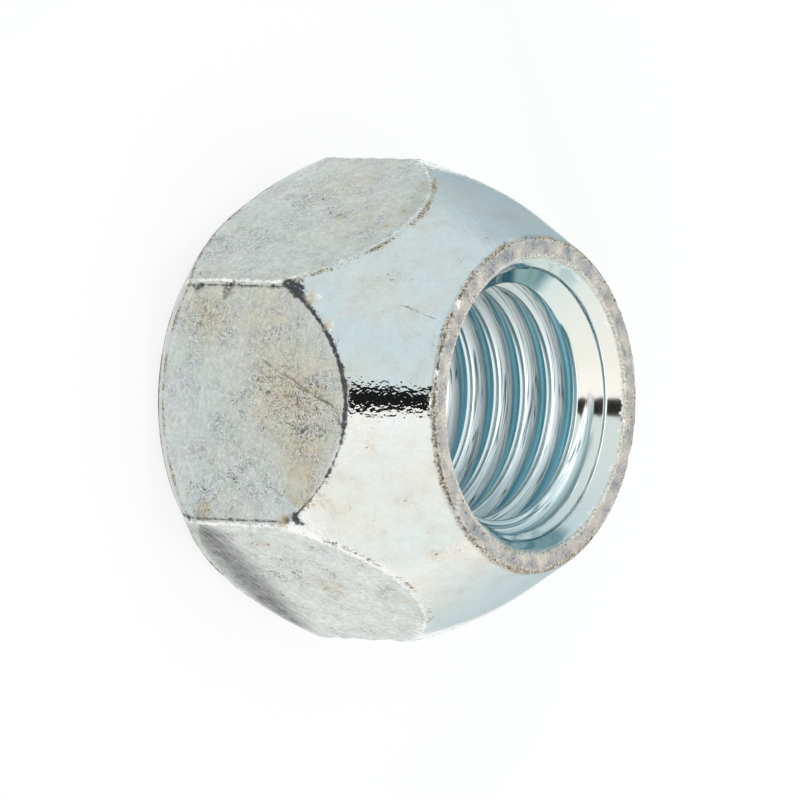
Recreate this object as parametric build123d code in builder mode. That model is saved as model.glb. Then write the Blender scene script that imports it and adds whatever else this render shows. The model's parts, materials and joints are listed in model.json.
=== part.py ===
from build123d import *
from math import cos, radians, tan
import os

# Open-ended lug nut: cold forged from hexagon bar, turned at both ends and tapped right through.
# It stands on its flat back face at z = 0, with the cone that seats in the wheel pointing up along +Z.
# Lengths are in millimetres and angles in degrees.

# Hexagon body, with two of its flats facing along X
across_flats = 19.0
nut_length = 15.0
edge_rounding = 0.28
flat_turn = 30.0
side_count = 6

# Turned back end, its chamfer measured on the flats
back_chamfer = 1.1
back_chamfer_angle = 45.0

# Cone that seats in the wheel, and the shoulder that rolls it over to a steeper angle at the corners
seat_angle = 60.0
corner_angle = 33.0
shoulder_lead_share = 1 / 5

# Right-hand metric fine thread, tapped into a hole that is one pitch smaller
thread_diameter = 12.0
thread_pitch = 1.5

# Front mouth: an inner countersink up from the thread, a narrow straight land, a steeper outer
# countersink and the flat ring that is left between the mouth and the cone
countersink_angle = 85.0
land_clearance = 0.1
land_length = 0.15
mouth_angle = 70.0
mouth_flare = 0.5
mouth_rounding = 0.12
ring_width = 0.9
ring_rounding = 0.22

# Back mouth: one countersink, a little wider than the thread
back_mouth_angle = 90.0
back_mouth_flare = 0.3

flat_radius = across_flats / 2
corner_radius = flat_radius / cos(radians(flat_turn))
back_face_radius = flat_radius - back_chamfer

hole_radius = (thread_diameter - thread_pitch) / 2
land_radius = thread_diameter / 2 + land_clearance
mouth_radius = land_radius + mouth_flare
ring_radius = mouth_radius + ring_width
back_mouth_radius = thread_diameter / 2 + back_mouth_flare

land_top = nut_length - mouth_flare / tan(radians(mouth_angle / 2))
land_bottom = land_top - land_length
thread_top = land_bottom - (land_radius - hole_radius) / tan(radians(countersink_angle / 2))
thread_bottom = (back_mouth_radius - hole_radius) / tan(radians(back_mouth_angle / 2))

half_seat = seat_angle / 2
half_corner = corner_angle / 2
shoulder_start = flat_radius - (flat_radius - ring_radius) * shoulder_lead_share
shoulder_top = nut_length - (shoulder_start - ring_radius) / tan(radians(half_seat))
shoulder_radius = (corner_radius - shoulder_start) / (cos(radians(half_corner)) - cos(radians(half_seat)))

with BuildPart() as lug_nut:
    # Hexagon bar
    with BuildSketch():
        RegularPolygon(radius=flat_radius, side_count=side_count, major_radius=False, rotation=flat_turn)
    extrude(amount=nut_length)

    # Lathe profile: the cone and its shoulder in front, the chamfer behind, and more than the bar between
    with BuildSketch(Plane.XZ):
        with BuildLine():
            cone = Line((ring_radius, nut_length), (shoulder_start, shoulder_top))
            shoulder = JernArc(cone @ 1, cone % 1, shoulder_radius, -half_seat)
            bar_side = Line(shoulder @ 1, ((shoulder @ 1).X, -nut_length))
            Polyline(bar_side @ 1, (0, -nut_length), (0, nut_length), cone @ 0)
        make_face()
        with BuildLine():
            chamfer_end = corner_radius + shoulder_radius
            chamfer_top = (chamfer_end - back_face_radius) * tan(radians(back_chamfer_angle))
            Polyline(
                (0, 0),
                (back_face_radius, 0),
                (chamfer_end, chamfer_top),
                (0, chamfer_top + nut_length),
                close=True,
            )
        make_face(mode=Mode.INTERSECT)
    revolve(axis=Axis.Z, mode=Mode.INTERSECT)

    # Forging and plating leave every edge of the six flats a little soft
    flats = lug_nut.faces().filter_by(GeomType.PLANE).filter_by(Axis.Z, reverse=True)
    fillet(flats.edges(), radius=edge_rounding)

    # Hole for the stud, countersunk at both ends
    with BuildSketch(Plane.XZ):
        with BuildLine():
            Polyline(
                (0, 0),
                (back_mouth_radius, 0),
                (hole_radius, thread_bottom),
                (hole_radius, thread_top),
                (land_radius, land_bottom),
                (land_radius, land_top),
                (mouth_radius, nut_length),
                (0, nut_length),
                close=True,
            )
        make_face()
    revolve(axis=Axis.Z, mode=Mode.SUBTRACT)

    # Both edges of the flat ring at the front
    ring_edges = lug_nut.faces().filter_by(Axis.Z).sort_by(Axis.Z)[-1].edges().sort_by(SortBy.RADIUS)
    fillet(ring_edges[-1], radius=ring_rounding)
    ring_edges = lug_nut.faces().filter_by(Axis.Z).sort_by(Axis.Z)[-1].edges().sort_by(SortBy.RADIUS)
    fillet(ring_edges[0], radius=mouth_rounding)

lug_nut.part.label = "lug_nut"
os.makedirs("parts", exist_ok=True)
export_step(lug_nut.part, "parts/lug_nut.step")
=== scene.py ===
# %% [markdown]
# A zinc-plated lug nut.
# This lesson dresses a lug nut that was drawn in CAD. It rebuilds the nut as one fine mesh, with its cut
# thread, soft worn edges and small dents, and then gives it the bright, slightly blue and scuffed zinc
# plating of a nut that has rattled about in a bin.

# %% Load the CAD model as a fixed frame
import json
import math
import random
import bpy
import numpy as np
from mathutils import Matrix, Vector, noise


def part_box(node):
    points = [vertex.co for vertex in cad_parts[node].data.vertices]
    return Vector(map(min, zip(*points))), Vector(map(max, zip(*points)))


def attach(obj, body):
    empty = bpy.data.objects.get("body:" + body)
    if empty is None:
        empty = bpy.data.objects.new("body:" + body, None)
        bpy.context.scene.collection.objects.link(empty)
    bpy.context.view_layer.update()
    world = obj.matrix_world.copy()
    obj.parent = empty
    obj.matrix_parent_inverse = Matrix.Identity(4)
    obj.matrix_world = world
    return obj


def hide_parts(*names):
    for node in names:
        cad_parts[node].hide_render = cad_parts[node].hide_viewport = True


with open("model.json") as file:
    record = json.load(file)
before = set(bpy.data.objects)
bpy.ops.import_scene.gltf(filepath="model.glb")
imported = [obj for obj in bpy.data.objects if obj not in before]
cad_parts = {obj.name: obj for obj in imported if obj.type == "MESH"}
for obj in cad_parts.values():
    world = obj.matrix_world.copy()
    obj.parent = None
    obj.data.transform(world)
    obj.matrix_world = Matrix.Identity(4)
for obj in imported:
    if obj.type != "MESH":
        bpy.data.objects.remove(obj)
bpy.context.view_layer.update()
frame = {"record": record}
low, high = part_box("lug_nut")
print("CAD nut from", tuple(low), "to", tuple(high))

# %% [markdown]
# Sizes.
# Everything is worked out in millimetres and turned to metres once, when the mesh is made. The three
# sizes that the CAD model fixes are read from it, so that the two models can't drift apart. The others
# repeat the drawing: a 60 degree cone, a 45 degree chamfer behind and an M12 x 1.5 thread.

# %% Sizes of the nut
MM = 0.001
SIDES = 6
side_angle = math.tau / SIDES
half_side = side_angle / 2
across_flats = (high.x - low.x) / MM
nut_length = (high.z - low.z) / MM
stud_thread = next(mount for mount in frame["record"]["mounts"] if mount["name"] == "stud_thread")
hole_radius = stud_thread["dims"]["r_mm"]
flat_radius = across_flats / 2
corner_radius = flat_radius / math.cos(half_side)
corner_rounding = 0.3
back_chamfer = 1.1
back_face_radius = flat_radius - back_chamfer
ring_width = 0.9
thread_diameter = 12.0
thread_pitch = 1.5
root_radius = thread_diameter / 2
land_clearance = 0.1
land_radius = root_radius + land_clearance
land_length = 0.15
mouth_flare = 0.5
mouth_radius = land_radius + mouth_flare
ring_radius = mouth_radius + ring_width
back_mouth_flare = 0.3
back_mouth_radius = root_radius + back_mouth_flare
half_seat = math.radians(30)
half_corner = math.radians(16.5)
half_mouth = math.radians(35)
half_sink = math.radians(42.5)
half_chamfer = math.radians(45)
shoulder_lead_share = 1 / 5
shoulder_start = flat_radius - (flat_radius - ring_radius) * shoulder_lead_share
shoulder_top = nut_length - (shoulder_start - ring_radius) / math.tan(half_seat)
shoulder_radius = (corner_radius - shoulder_start) / (math.cos(half_corner) - math.cos(half_seat))
land_top = nut_length - mouth_flare / math.tan(half_mouth)
land_bottom = land_top - land_length
thread_top = land_bottom - (land_radius - hole_radius) / math.tan(half_sink)
print(f"hexagon {across_flats:.2f} mm, length {nut_length:.2f} mm, hole {2 * hole_radius:.2f} mm")

# %% [markdown]
# The hexagon's section.
# The bar is a hexagon with corners that are slightly rounded. The mesh is a net wrapped round the nut's
# axis, so the section is a ring of points: a row along each flat, closer together towards its ends, and a
# short arc at each corner. A bevel modifier could round the corners too, but a net that follows them
# keeps every quad even.

# %% Points of the section, as angle and radius round the axis
flat_columns = 50
corner_columns = 9
even_share = 0.35
half_flat = (flat_radius - corner_rounding) * math.tan(half_side)
corner_centre = (flat_radius - corner_rounding) / math.cos(half_side)


def facing(side):
    """The angle round the axis that one side of the hexagon faces."""
    return side * math.tau / SIDES - math.pi


section = []
for side in range(SIDES):
    turn = facing(side)
    for share in np.linspace(-1, 1, flat_columns):
        place = half_flat * (even_share * share + (1 - even_share) * math.sin(share * math.pi / 2))
        corner_gap = half_flat - abs(place) + corner_rounding * half_side
        section.append((turn + math.atan2(place, flat_radius), math.hypot(place, flat_radius), corner_gap))
    corner = turn + half_side
    for swing in np.linspace(-half_side, half_side, corner_columns + 2)[1:-1]:
        along = corner_centre + corner_rounding * math.cos(swing)
        aside = corner_rounding * math.sin(swing)
        corner_gap = corner_rounding * abs(swing)
        section.append((corner + math.atan2(aside, along), math.hypot(aside, along), corner_gap))
angles, bar_radii, corner_gaps = np.array(section).T
print(len(angles), "columns round the axis")

# %% [markdown]
# The turned outline.
# On the lathe the bar gets a chamfer behind and a cone in front that rolls over into the corners. Where
# the outline leaves the bar depends on the column: low on the corners, high in the middle of a flat.
# That gives the scalloped edges of a nut. Each column is laid as one line of points from the back face
# to the front mouth, with a small arc at each edge, so no boolean is needed and the edges stay smooth.

# %% Roundings of the edges, and rows of points on each part of the outline
back_edge_rounding = 0.5
back_corner_rounding = 1.7
front_edge_rounding = 0.8
back_rim_rounding = 0.2
ring_rounding = 0.22
mouth_rounding = 0.14
row_counts = {
    "back": 5, "back_rim": 4, "chamfer": 6, "back_edge": 7, "flat": 40, "front_edge": 9, "cone": 32,
    "ring_edge": 6, "ring": 5, "mouth_edge": 4, "sink": 5, "land": 2,
}


def shoulder_point(radius):
    """Height and slope angle of the rolled shoulder at a radius outside the cone."""
    slope = math.acos(min(1.0, math.cos(half_seat) + (radius - shoulder_start) / shoulder_radius))
    height = shoulder_top - shoulder_radius * (math.sin(half_seat) - math.sin(slope))
    return height, slope


def rounded(before, corner, after, rounding, part):
    """Points of an arc that rounds a corner between two neighbours, all as (radius, height)."""
    to_before = (Vector(before) - Vector(corner)).normalized()
    to_after = (Vector(after) - Vector(corner)).normalized()
    half_angle = to_before.angle(to_after) / 2
    centre = Vector(corner) + (to_before + to_after).normalized() * rounding / math.sin(half_angle)
    start = Vector(corner) + to_before * rounding / math.tan(half_angle) - centre
    end = Vector(corner) + to_after * rounding / math.tan(half_angle) - centre
    sweep = start.angle(end)
    arc = []
    for share in np.linspace(0, 1, row_counts[part]):
        along = math.sin((1 - share) * sweep) / math.sin(sweep)
        across = math.sin(share * sweep) / math.sin(sweep)
        arc.append(tuple(centre + start * along + end * across))
    return arc


def between(start, end, part):
    """Evenly spaced points between two points, without either end."""
    shares = np.linspace(0, 1, row_counts[part] + 2)[1:-1]
    return [tuple(Vector(start).lerp(Vector(end), share)) for share in shares]


print("the shoulder meets a corner at", round(shoulder_point(corner_radius)[0], 2), "mm")


# %% One column of the outside, from the back mouth to the front mouth
def outside_column(bar_radius):
    """Points and part names of one column, from the back mouth round the outside to the front mouth."""
    chamfer_height = bar_radius - back_face_radius
    front_height, slope = shoulder_point(bar_radius)
    behind = (bar_radius - math.cos(half_chamfer), chamfer_height - math.sin(half_chamfer))
    in_front = (bar_radius - math.sin(slope), front_height + math.cos(slope))
    middle = (bar_radius, (chamfer_height + front_height) / 2)
    to_corner = ((bar_radius - flat_radius) / (corner_radius - flat_radius)) ** 2
    back_rounding = back_edge_rounding + (back_corner_rounding - back_edge_rounding) * to_corner
    back_arc = rounded(behind, (bar_radius, chamfer_height), middle, back_rounding, "back_edge")
    front_arc = rounded(middle, (bar_radius, front_height), in_front, front_edge_rounding, "front_edge")
    back_rim = rounded((0, 0), (back_face_radius, 0), behind, back_rim_rounding, "back_rim")
    ring_corner = (ring_radius, nut_length)
    mouth_corner = (mouth_radius, nut_length)
    cone_step = (ring_radius + math.sin(half_seat), nut_length - math.cos(half_seat))
    sink_step = (mouth_radius - math.sin(half_mouth), nut_length - math.cos(half_mouth))
    ring_arc = rounded(cone_step, ring_corner, (0, nut_length), ring_rounding, "ring_edge")
    mouth_arc = rounded(ring_corner, mouth_corner, sink_step, mouth_rounding, "mouth_edge")
    points = []
    parts = []

    def lay(name, stretch):
        points.extend(stretch)
        parts.extend([name] * len(stretch))

    lay("back_sink", [(back_mouth_radius, 0)])
    lay("back", between((back_mouth_radius, 0), back_rim[0], "back"))
    lay("back_rim", back_rim)
    lay("chamfer", between(back_rim[-1], back_arc[0], "chamfer"))
    lay("back_edge", back_arc)
    lay("flat", between(back_arc[-1], front_arc[0], "flat"))
    lay("front_edge", front_arc)
    for radius in np.linspace(front_arc[-1][0], ring_arc[0][0], row_counts["cone"] + 2)[1:-1]:
        on_cone = nut_length - (radius - ring_radius) / math.tan(half_seat)
        lay("cone", [(radius, shoulder_point(radius)[0] if radius > shoulder_start else on_cone)])
    lay("ring_edge", ring_arc)
    lay("ring", between(ring_arc[-1], mouth_arc[0], "ring"))
    lay("mouth_edge", mouth_arc)
    lay("sink", between(mouth_arc[-1], (land_radius, land_top), "sink"))
    lay("land", [(land_radius, land_top)])
    lay("land", between((land_radius, land_top), (land_radius, land_bottom), "land"))
    return points, parts


columns = [outside_column(radius) for radius in bar_radii]
row_parts = columns[0][1]
outside = np.array([points for points, parts in columns])
print(outside.shape, "points on the outside:", sorted(set(row_parts)))

# %% [markdown]
# The thread.
# A tap leaves one long groove that winds up the hole. Its rows follow the helix: every column starts a
# little higher than the last, one pitch in a full turn, so crest and root stay sharp lines all the way.
# A screw modifier can spin such a profile too, but it can't run the groove out into the countersinks.
# Here the wall is simply whichever is wider, the groove or the countersink, and rows past the ends
# collapse onto the last circle, where doubled points are merged.

# %% Rows of the thread, as distances along the axis from the middle of a crest
half_crest = 0.15
crest_softness = 0.03
root_softness = 0.12
crest_height = 1.20
run_out_share = 0.4
half_thread_angle = math.radians(30)
row_places = [-0.66, -0.58, -0.49, -0.37, -0.25, -0.17, -0.13, 0.13, 0.17, 0.25, 0.37, 0.49, 0.58, 0.66]
bottom_height = 0.25


def smooth_larger(one, other, softness):
    """The larger of two numbers, with a soft change from one to the other."""
    overlap = max(softness - abs(one - other), 0) / softness
    return max(one, other) + overlap * overlap * softness / 4


def groove_radius(place, height):
    """Radius of the thread's wall at a distance along the axis from the middle of its crest."""
    flank = hole_radius + (abs(place) - half_crest) / math.tan(half_thread_angle)
    wall = smooth_larger(hole_radius, flank, crest_softness)
    wall = -smooth_larger(-root_radius, -wall, root_softness)
    running_out = min(max((height - thread_top) / (land_bottom - thread_top), 0), 1)
    return wall - (wall - hole_radius) * running_out * run_out_share


spare_turns = 2
turns = range(-spare_turns, int(nut_length / thread_pitch) + spare_turns + 1)
row_list = [(turn * thread_pitch + place, place) for turn in turns for place in row_places]
row_list.reverse()
thread_rows = []
for height, place in row_list:
    row = []
    for angle in angles:
        lifted = height + crest_height + thread_pitch * (angle + math.pi) / math.tau
        lifted = min(max(lifted, bottom_height), land_bottom)
        front_sink = hole_radius + (lifted - thread_top) * math.tan(half_sink)
        back_sink = back_mouth_radius - lifted
        row.append((max(groove_radius(place, lifted), front_sink, back_sink), lifted))
    thread_rows.append(row)
inside = np.array(thread_rows).transpose(1, 0, 2)
print(inside.shape, "points on the thread")

# %% [markdown]
# Where the nut is worn.
# Knocks land on what sticks out, so the wear is written as weights on the net's points: along the
# corners, along the rounded edges in front of and behind the flats, and on both rims of the front ring.
# The edges differ: one has a dark bruise, the next is rubbed brown and another has a bright burnish. Part
# of the bright is painted highlight along the corners and front edges, and part of the dark is painted dark
# reflection along the front edges.
# Painting a texture would do this too, but weights follow the edges by themselves.

# %% Ways to lay a weight on rows, sides and edges
net_angles = angles[:, None]
outside_points = np.stack(
    [outside[:, :, 0] * np.cos(net_angles), outside[:, :, 0] * np.sin(net_angles), outside[:, :, 1]], axis=2
)
names = np.array(row_parts)
side_numbers = np.round((angles + math.pi) / side_angle).astype(int) % SIDES
corner_blend = 4
line_reach = 9


def rows_weight(weights):
    """One weight for each row, looked up by the name of its part."""
    return np.array([weights.get(name, 0.0) for name in row_parts])


def sides_weight(weights):
    """One weight for each column from six weights, one a side, blended a little at the corners."""
    plain = np.array(weights)[side_numbers]
    steps = range(-corner_blend, corner_blend + 1)
    return sum(np.roll(plain, step) for step in steps)[:, None] / len(steps)


def round_weight(stops):
    """One weight for each column, from stops of an angle in degrees and a weight."""
    degrees = (np.degrees(angles) + 180) % 360 - 180
    return np.interp(degrees, [stop[0] for stop in stops], [stop[1] for stop in stops])[:, None]


def line_gap(heights):
    """Distance of every point from the line where the flats end at these heights, one for each column."""
    line = np.stack([bar_radii * np.cos(angles), bar_radii * np.sin(angles), heights], axis=1)
    gaps = []
    for step in range(-line_reach, line_reach + 1):
        gaps.append(np.linalg.norm(outside_points - np.roll(line, step, axis=0)[:, None], axis=2))
    return np.min(gaps, axis=0) * np.sign(outside_points[:, :, 2] - heights[:, None])


def near(gap, width):
    """A soft weight that is 1 on a line and falls off within a width."""
    return np.exp(-(gap / width) ** 2)


front_gap = line_gap(np.array([shoulder_point(radius)[0] for radius in bar_radii]))
back_gap = line_gap(bar_radii - back_face_radius)
outer_rim = np.hypot(outside[:, :, 0] - ring_radius, outside[:, :, 1] - nut_length)
inner_rim = np.hypot(outside[:, :, 0] - mouth_radius, outside[:, :, 1] - nut_length)
back_rim = np.hypot(outside[:, :, 0] - back_face_radius, outside[:, :, 1])
on_flats = rows_weight({"flat": 1.0, "front_edge": 0.7, "back_edge": 0.8})
print(f"nearest points lie {np.abs(front_gap).min():.3f} mm from the front edges of the flats")

# %% Which surface is which
weights = {}
scuffed = rows_weight({"flat": 1.0, "chamfer": 0.8, "back": 0.8, "back_edge": 0.9, "back_rim": 0.8})
scuffed[names == "front_edge"] = np.linspace(1, 0, row_counts["front_edge"])
ring_rows = rows_weight({"ring": 1.0, "ring_edge": 0.7, "mouth_edge": 0.7})
bore_rows = rows_weight({"sink": 1.0, "land": 1.0, "mouth_edge": 0.3})
for name, rows in (("scuffed", scuffed), ("ring", ring_rows), ("bore", bore_rows)):
    weights[name] = np.tile(rows, (len(angles), 1))
print("surfaces:", ", ".join(weights))

# %% Worn edges, with painted highlights and painted dark reflections
# Lists of six go round the sides. Side 3 faces the camera, side 2 is above it in the picture and 4 below.
# Widths of the marks, and how far they lie off an edge, are in millimetres.
corner_line_width = 0.13
front_dark_offset = 0.04
corner_bruise_offset = 0.26
corner_bruise_width = 0.1
rim_bruise_width = 0.13
bright_offset = 0.06
bright_width = 0.3
brown_front_offset = 0.16
brown_front_width = 0.16
brown_outer_width = 0.2
brown_inner_offset = 0.05
brown_inner_width = 0.16
brown_edge_width = 0.15
brown_back_width = 0.4
# Partly painted dark reflection: how strongly each angle round the axis gets a dark line along the front
# edges, most on side 3, which faces the camera; the rest is bruising.
dark_stops = [
    (-180, 0.4), (-150, 0.7), (-110, 0.3), (-60, 0.1), (-32, 0.2), (-29, 1.0), (3, 1.0), (12, 0.72),
    (29, 0.78), (31, 0.0), (88, 0.0), (100, 0.5), (145, 0.7), (180, 0.4),
]
dark_widths = [
    (-180, 0.12), (-30, 0.3), (-25, 0.2), (-12, 0.2), (4, 0.18), (14, 0.13), (24, 0.15), (30, 0.24),
    (180, 0.12),
]
rim_stops = [(-180, 0.5), (-70, 0.52), (-40, 0.66), (20, 0.66), (70, 0.52), (180, 0.5)]
corner_line = near(corner_gaps, corner_line_width)[:, None] * on_flats
# A dark line along the front edges of the flats: partly a bruise, partly painted dark reflection.
dark_front = round_weight(dark_stops) * near(front_gap - front_dark_offset, round_weight(dark_widths))
beside_corner = near(corner_gaps - corner_bruise_offset, corner_bruise_width)[:, None] * on_flats
dark_side = sides_weight([0.4, 0.5, 0.4, 0.75, 0.3, 0.6]) * beside_corner
dark_rim = round_weight(rim_stops) * near(outer_rim, rim_bruise_width)
weights["bruised"] = np.maximum.reduce([dark_front, dark_side, dark_rim])
# Partly burnish and partly painted highlight: bright bands along the front edges, strongest on side 4, and
# along the corners.
bright_front = sides_weight([0.4, 0.2, 0.8, 0.0, 1.3, 0.3]) * near(front_gap - bright_offset, bright_width)
weights["burnished"] = np.maximum(bright_front, corner_line)
brown_front = near(front_gap - brown_front_offset, brown_front_width)
brown_front = sides_weight([0.6, 0.7, 0.9, 0.3, 0.55, 0.7]) * brown_front
brown_inner = near(inner_rim - brown_inner_offset, brown_inner_width)
brown_rims = np.maximum(1.15 * near(outer_rim, brown_outer_width), brown_inner)
brown_back = np.maximum(1.1 * near(back_gap, brown_edge_width), 1.2 * near(back_rim, brown_back_width))
uneven_size = 1.6
uneven_shift = Vector((3, 8, 1))
uneven = np.array([
    [noise.noise(Vector(point) / uneven_size + uneven_shift) for point in column] for column in outside_points
])
uneven = np.clip(0.95 + 1.1 * uneven, 0.35, 1.4)
weights["rubbed"] = np.maximum.reduce([brown_front, brown_rims, brown_back]) * uneven
# Painted light: how much lighter each flat is painted, side 4 most.
weights["fresh"] = sides_weight([0.5, 0.2, 0.1, 0.0, 1.0, 0.3]) * on_flats
print("weights for", ", ".join(weights))

# %% [markdown]
# Stains and scuffs.
# A used nut has marks of its own: a dried drop, a scuffed patch, dark bruises at the corners. Noise would
# scatter such marks evenly, so these are listed one by one, as soft round spots on a flat or on the cone,
# each with a radius and a strength. The sides that the picture doesn't show get a few of the same kind.


# %% Spots by their place on the nut
stroke_spots = 9


def flat_spot(side, along, height):
    """A point on one flat, from its distance off the flat's middle line and its height."""
    turn = facing(side)
    across = Vector((math.cos(turn), math.sin(turn), 0)) * flat_radius
    return across + Vector((-math.sin(turn), math.cos(turn), 0)) * along + Vector((0, 0, height))


def cone_spot(degrees, height):
    """A point on the cone or its shoulder, from its angle round the axis and its height."""
    radius = ring_radius + (nut_length - height) * math.tan(half_seat)
    if height < shoulder_top:
        slope = math.asin(math.sin(half_seat) - (shoulder_top - height) / shoulder_radius)
        radius = shoulder_start + shoulder_radius * (math.cos(slope) - math.cos(half_seat))
    turn = math.radians(degrees)
    return Vector((radius * math.cos(turn), radius * math.sin(turn), height))


def spots(where, rows):
    """Spots from rows of a place, a radius and a strength; where turns the place into a point."""
    return [(where(*place), radius, strength) for *place, radius, strength in rows]


def stroke(start, end, radius, strength):
    """A row of spots that run together into one stroke."""
    return [(start.lerp(end, share), radius, strength) for share in np.linspace(0, 1, stroke_spots)]


def spots_weight(marks):
    """The strongest of some soft round spots at every point."""
    total = np.zeros(outside_points.shape[:2])
    for centre, radius, strength in marks:
        apart = np.linalg.norm(outside_points - np.array(centre), axis=2)
        total = np.maximum(total, strength * near(apart, radius))
    return total


print("the middle of side 3 is at", tuple(flat_spot(3, 0, nut_length / 2)))

# %% Stains and bruises
stains = spots(flat_spot, [
    (3, 4.84, 3.55, 0.4, 0.9), (3, 3.3, 9.3, 0.7, 0.5), (3, 3.9, 8.8, 0.6, 0.5), (3, 5.2, 8.1, 0.4, 1.0),
    (2, -0.1, 7.36, 0.3, 0.7), (2, 1.04, 2.43, 0.25, 0.7), (2, -0.57, 10.7, 0.5, 0.7),
    (2, -1.6, 10.9, 0.45, 0.7), (2, 0.5, 10.4, 0.4, 0.6), (2, -2.6, 10.75, 0.4, 0.8),
    (2, -3.2, 10.2, 0.5, 0.6), (2, 4.4, 3.6, 0.5, 0.5), (4, 0.0, 7.1, 0.9, 0.6), (4, 1.1, 10.6, 0.5, 0.7),
    (4, -3.7, 5.9, 0.6, 0.5), (0, 1.5, 8.2, 0.8, 0.7), (1, -2.0, 4.4, 0.7, 0.8), (5, 2.6, 9.0, 0.6, 0.8),
])
stains += spots(cone_spot, [
    (-26.9, 9.5, 0.32, 1.0), (-21.1, 10.33, 0.3, 0.9), (24, 10.0, 0.5, 0.5), (150, 11.2, 0.4, 0.8),
    (-130, 12.1, 0.35, 0.7), (95, 10.8, 0.5, 0.6),
])
dried_drop = flat_spot(3, 3.55, 9.05)
drop_half_width = 0.8
drop_half_height = 0.62
drop_rim_width = 0.16
drop_rim_spots = 13
for turn in np.linspace(0, math.tau, drop_rim_spots, endpoint=False):
    rim_spot = dried_drop + Vector((0, drop_half_width * math.cos(turn), drop_half_height * math.sin(turn)))
    stains.append((rim_spot, drop_rim_width, 1.15))
bruises = spots(flat_spot, [
    (3, -5.1, 3.0, 0.25, 1.0), (3, -5.15, 3.3, 0.2, 0.9), (3, -4.75, 4.7, 0.1, 0.8),
    (3, -5.0, 4.8, 0.14, 0.9), (3, -5.25, 4.95, 0.16, 0.9), (3, -5.25, 5.4, 0.15, 0.9),
    (3, -5.2, 7.3, 0.2, 0.9), (3, 5.3, 2.6, 0.2, 0.6), (2, 4.9, 2.8, 0.2, 0.8), (2, 4.8, 3.2, 0.15, 0.7),
    (0, 5.1, 5.0, 0.25, 0.9), (1, -5.2, 3.8, 0.3, 0.8), (5, 5.1, 7.6, 0.25, 0.9),
])
bruises += spots(cone_spot, [
    (-29.7, 8.35, 0.32, 1.1), (-28.8, 8.81, 0.36, 1.1), (-27.6, 8.8, 0.34, 1.0), (28.5, 8.3, 0.3, 1.0),
    (28.0, 8.75, 0.32, 1.0), (29.6, 8.9, 0.26, 0.9),
])
weights["stained"] = spots_weight(stains)
weights["bruised"] = np.maximum(weights["bruised"], spots_weight(bruises))
print(len(stains), "stains and", len(bruises), "bruises")

# %% Scuffed, scribbled and handled patches
scuffs = stroke(flat_spot(4, -4.6, 3.1), flat_spot(4, 3.9, 2.0), 1.45, 1.0)
scuffs += stroke(flat_spot(0, -1.0, 5.0), flat_spot(0, 3.6, 7.5), 1.6, 0.45)
scuffs += stroke(flat_spot(1, 0.4, 9.0), flat_spot(1, 3.0, 8.0), 1.5, 0.4)
scuffs += stroke(flat_spot(5, -4.0, 3.0), flat_spot(5, 1.0, 3.6), 1.6, 0.5)
scribbles = spots(flat_spot, [
    (3, 0.5, 9.0, 1.9, 1.0), (3, -1.0, 7.2, 1.4, 0.8), (3, -3.8, 3.6, 1.2, 0.7), (3, 3.0, 5.0, 1.5, 0.6),
    (2, -1.0, 5.0, 1.5, 0.6), (2, 2.5, 3.0, 1.5, 0.5), (4, -1.0, 5.0, 2.0, 0.6), (0, 1.0, 6.0, 2.5, 0.8),
    (1, -1.0, 5.5, 2.0, 0.8), (5, 0.5, 7.0, 2.2, 0.8),
])
scribbles += spots(cone_spot, [(5, 11.0, 1.2, 0.7), (-40, 12.0, 1.0, 0.5)])
handled = spots(flat_spot, [
    (3, -4.0, 4.0, 1.7, 0.8), (3, -3.6, 7.2, 2.0, 0.9), (3, -0.6, 8.4, 2.8, 1.0), (3, 1.6, 9.0, 2.0, 0.9),
    (2, 0.0, 9.0, 2.2, 0.4), (2, -3.0, 6.0, 1.8, 0.5), (4, 0.5, 6.5, 2.0, 0.6), (4, -4.0, 5.0, 1.8, 0.5),
    (0, 0.0, 5.0, 3.5, 0.7), (1, 1.0, 6.0, 3.0, 0.8), (5, -1.0, 7.0, 3.0, 0.7),
])
weights["scribbled"] = spots_weight(scribbles)
weights["handled"] = spots_weight(handled)
weights["dulled"] = spots_weight(scuffs) * rows_weight({"flat": 1.0, "front_edge": 0.4, "back_edge": 0.7})
print(len(scuffs), "spots of scuff,", len(scribbles), "scribbled and", len(handled), "handled patches")

# %% [markdown]
# Dents and unevenness.
# Forged faces are never quite flat and edges collect nicks, so the points are pushed in a little: a slow
# wave of a hundredth of a millimetre everywhere, ragged nicks along the edges and a handful of real dents.
# They are only ever pushed inwards, because the nut can't grow out of its own outline. A displace
# modifier would do it as well, but it can't keep to the edges alone.

# %% Dents, some where the picture shows them and some by chance along the corners
dents = spots(flat_spot, [
    (3, -5.1, 3.0, 0.32, 0.16), (3, -5.15, 3.35, 0.2, 0.1), (3, -4.95, 4.8, 0.16, 0.12),
    (3, -5.2, 4.95, 0.2, 0.14), (3, -5.2, 5.45, 0.18, 0.1), (3, -5.3, 7.3, 0.2, 0.1),
    (3, 5.25, 2.7, 0.25, 0.1), (2, -0.5, 6.4, 0.2, 0.06),
])
dents += spots(cone_spot, [(-26.9, 9.5, 0.3, 0.08), (-21.1, 10.33, 0.25, 0.07)])
chance_dents = 40
dent_offsets = (5.2, 5.5)
dent_heights = (2.5, 8.0)
dent_radii = (0.12, 0.3)
dent_depths = (0.03, 0.1)
chance = random.Random(12)
for _ in range(chance_dents):
    side = chance.randrange(SIDES)
    end = chance.choice((-1, 1)) * chance.uniform(*dent_offsets)
    height = chance.uniform(*dent_heights)
    radius = chance.uniform(*dent_radii)
    depth = chance.uniform(*dent_depths)
    dents.append((flat_spot(side, end, height), radius, depth))
print(len(dents), "dents")

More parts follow.
